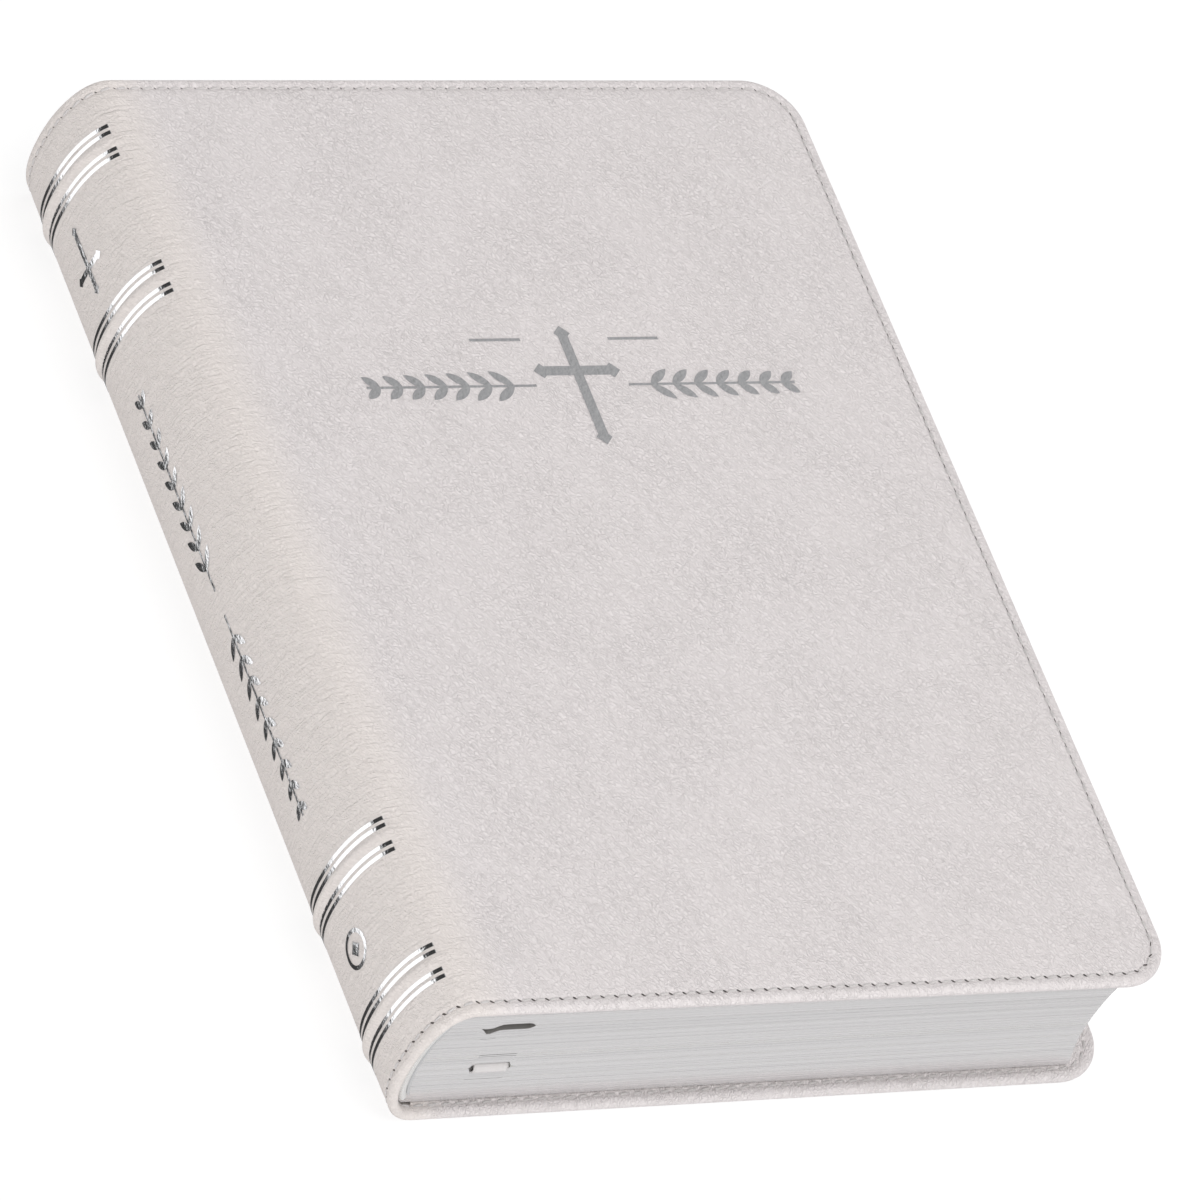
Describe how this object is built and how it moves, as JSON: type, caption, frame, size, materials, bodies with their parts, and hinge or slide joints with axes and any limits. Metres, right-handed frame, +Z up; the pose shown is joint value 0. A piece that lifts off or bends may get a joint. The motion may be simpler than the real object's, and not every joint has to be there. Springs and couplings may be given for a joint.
{
  "type": "bible",
  "caption": "Thick flexible leather-bound bible with a rounded spine, raised bands, stitched covers, silver foil ornaments, gilt page edges and ribbon markers.",
  "frame": {"origin": "middle of the face it rests on, under the centre of its outline", "axes": "+X from the spine to the fore edge, +Y from the tail to the head, +Z up through the front cover"},
  "size_m": [0.174, 0.236, 0.037],
  "materials": {
    "leather_cover": "off-white full-grain leather, finely pebbled, with a soft sheen",
    "cover_board": "thin flexible fibre board",
    "endpaper": "smooth heavy uncoated endpaper",
    "bible_paper": "thin white paper with silver gilt edges",
    "silver_foil": "hot-stamped silver foil",
    "stitching_thread": "twisted polyester thread",
    "satin_ribbon": "white double-face satin ribbon",
    "mull_cloth": "open-weave binder's cloth",
    "endband_silk": "worked silk endband",
    "endband_cord": "twisted cord",
    "sewing_thread": "linen sewing thread"
  },
  "bodies": {
    "back_cover": {"back_cover_leather": "leather_cover", "back_board": "cover_board", "back_pastedown": "endpaper", "back_stitching": "stitching_thread"},
    "back_half": {"back_flyleaf": "endpaper", "lower_sections_1": "bible_paper", "lower_sections_2": "bible_paper", "lower_sections_3": "bible_paper", "lower_sections_4": "bible_paper", "ribbon_lower": "satin_ribbon", "back_mull": "mull_cloth"},
    "spine": {"spine_leather": "leather_cover", "spine_stiffener": "cover_board", "raised_bands": "leather_cover", "spine_foil_lines": "silver_foil", "spine_cross": "silver_foil", "spine_vine": "silver_foil", "spine_ring": "silver_foil", "spine_stitching": "stitching_thread", "front_joint_leather": "leather_cover", "back_joint_leather": "leather_cover", "head_band": "endband_silk", "tail_band": "endband_silk", "head_band_core": "endband_cord", "tail_band_core": "endband_cord", "sewn_backs": "bible_paper", "sewing_threads": "sewing_thread"},
    "front_half": {"front_flyleaf": "endpaper", "upper_sections_1": "bible_paper", "upper_sections_2": "bible_paper", "upper_sections_3": "bible_paper", "upper_sections_4": "bible_paper", "ribbon_upper": "satin_ribbon", "front_mull": "mull_cloth"},
    "front_cover": {"front_cover_leather": "leather_cover", "front_board": "cover_board", "front_pastedown": "endpaper", "front_stitching": "stitching_thread", "front_cross": "silver_foil", "front_vine": "silver_foil", "front_rules": "silver_foil"},
    "back_leaf_1": {"back_leaf_1": "bible_paper"},
    "front_leaf_1": {"front_leaf_1": "bible_paper"},
    "back_leaf_2": {"back_leaf_2": "bible_paper"},
    "front_leaf_2": {"front_leaf_2": "bible_paper"},
    "back_leaf_3": {"back_leaf_3": "bible_paper"},
    "front_leaf_3": {"front_leaf_3": "bible_paper"}
  },
  "joints": [
    {"name": "back_cover_hinge", "type": "hinge", "parent": "back_cover", "child": "back_half", "pos_m": [-0.076, 0, 0], "axis": [0, 1, 0], "range_deg": [-90, 0], "deforming": ["back_joint_leather"]},
    {"name": "open_spine", "type": "hinge", "parent": "back_half", "child": "spine", "pos_m": [-0.076, 0, 0], "axis": [0, -1, 0], "range_deg": [0, 90]},
    {"name": "front_half_turn", "type": "hinge", "parent": "spine", "child": "front_half", "pos_m": [-0.076, 0, 0.037], "axis": [0, -1, 0], "range_deg": [0, 90]},
    {"name": "front_cover_hinge", "type": "hinge", "parent": "front_half", "child": "front_cover", "pos_m": [-0.076, 0, 0.037], "axis": [0, 1, 0], "range_deg": [-90, 0], "deforming": ["front_joint_leather"]},
    {"name": "back_leaf_1_turn", "type": "hinge", "parent": "spine", "child": "back_leaf_1", "pos_m": [-0.076, 0, 0], "axis": [0, 1, 0], "range_deg": [0, 79.2]},
    {"name": "front_leaf_1_turn", "type": "hinge", "parent": "spine", "child": "front_leaf_1", "pos_m": [-0.076, 0, 0.037], "axis": [0, -1, 0], "range_deg": [0, 79.2]},
    {"name": "back_leaf_2_turn", "type": "hinge", "parent": "spine", "child": "back_leaf_2", "pos_m": [-0.076, 0, 0], "axis": [0, 1, 0], "range_deg": [0, 66.6]},
    {"name": "front_leaf_2_turn", "type": "hinge", "parent": "spine", "child": "front_leaf_2", "pos_m": [-0.076, 0, 0.037], "axis": [0, -1, 0], "range_deg": [0, 66.6]},
    {"name": "back_leaf_3_turn", "type": "hinge", "parent": "spine", "child": "back_leaf_3", "pos_m": [-0.076, 0, 0], "axis": [0, 1, 0], "range_deg": [0, 52.2]},
    {"name": "front_leaf_3_turn", "type": "hinge", "parent": "spine", "child": "front_leaf_3", "pos_m": [-0.076, 0, 0.037], "axis": [0, -1, 0], "range_deg": [0, 52.2]}
  ],
  "couplings": [
    {"joint": "front_half_turn", "follows": "open_spine", "ratio": 1},
    {"joint": "back_leaf_1_turn", "follows": "open_spine", "ratio": 0.88},
    {"joint": "front_leaf_1_turn", "follows": "open_spine", "ratio": 0.88},
    {"joint": "back_leaf_2_turn", "follows": "open_spine", "ratio": 0.74},
    {"joint": "front_leaf_2_turn", "follows": "open_spine", "ratio": 0.74},
    {"joint": "back_leaf_3_turn", "follows": "open_spine", "ratio": 0.58},
    {"joint": "front_leaf_3_turn", "follows": "open_spine", "ratio": 0.58}
  ]
}
